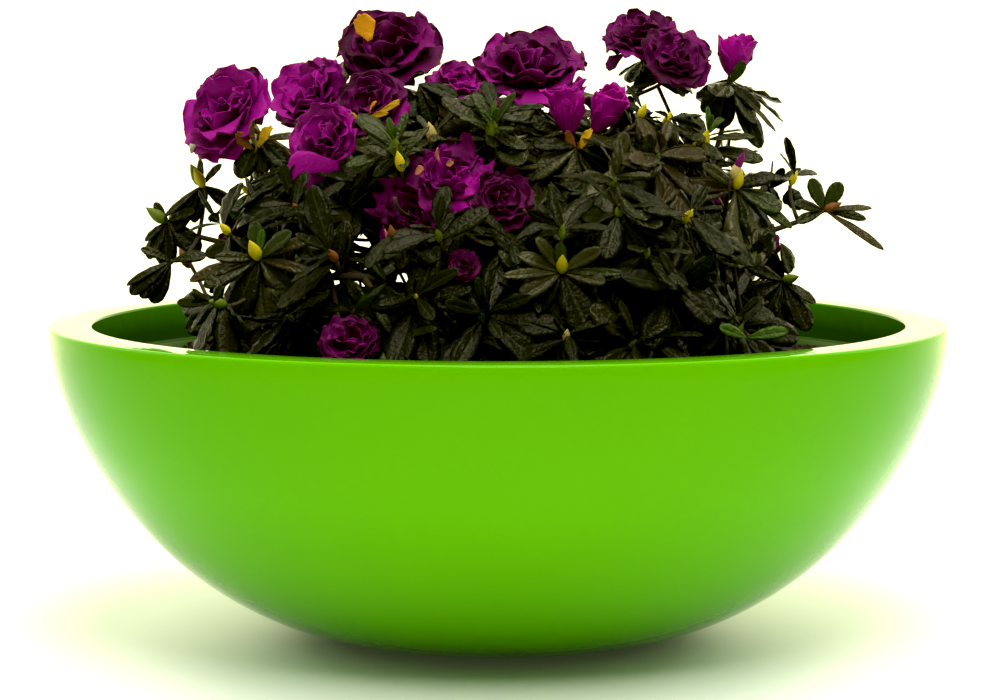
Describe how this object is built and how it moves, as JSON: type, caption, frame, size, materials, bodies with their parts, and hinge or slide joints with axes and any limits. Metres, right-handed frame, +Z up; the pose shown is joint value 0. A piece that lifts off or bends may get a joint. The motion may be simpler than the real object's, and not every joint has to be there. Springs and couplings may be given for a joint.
{
  "type": "potted azalea shrub",
  "caption": "Low double-flowered azalea in full bloom, growing in a wide round-bottomed lacquered bowl planter.",
  "frame": {"origin": "on the floor under the centre of the bowl, at the middle of its flat foot", "axes": "+Z up, -Y towards the side of the plant that is seen in front, +X to the right of that view"},
  "size_m": [0.55, 0.55, 0.3855],
  "materials": {
    "lime_lacquer": "high-gloss lime green lacquer over a moulded glass-fibre polyester bowl",
    "potting_mix": "dark brown peat-based potting mix with bits of bark",
    "bark": "thin grey-brown bark of stem, boughs and twigs, finely cracked",
    "foliage": "dark green leathery leaves with a waxy sheen; deep purple soft petals; yellow-green buds"
  },
  "bodies": {
    "root": {"planter_bowl": "lime_lacquer", "potting_mix": "potting_mix", "main_stem": "bark", "bough_left": "bark", "bough_front_left": "bark", "bough_front": "bark", "bough_front_right": "bark", "bough_right": "bark", "bough_back_right": "bark", "bough_back": "bark", "bough_back_left": "bark", "bough_top_left": "bark", "bough_top_right": "bark", "foliage_left": "foliage", "foliage_front_left": "foliage", "foliage_front": "foliage", "foliage_front_right": "foliage", "foliage_right": "foliage", "foliage_back_right": "foliage", "foliage_back": "foliage", "foliage_back_left": "foliage", "foliage_top_left": "foliage", "foliage_top_right": "foliage"}
  },
  "joints": []
}
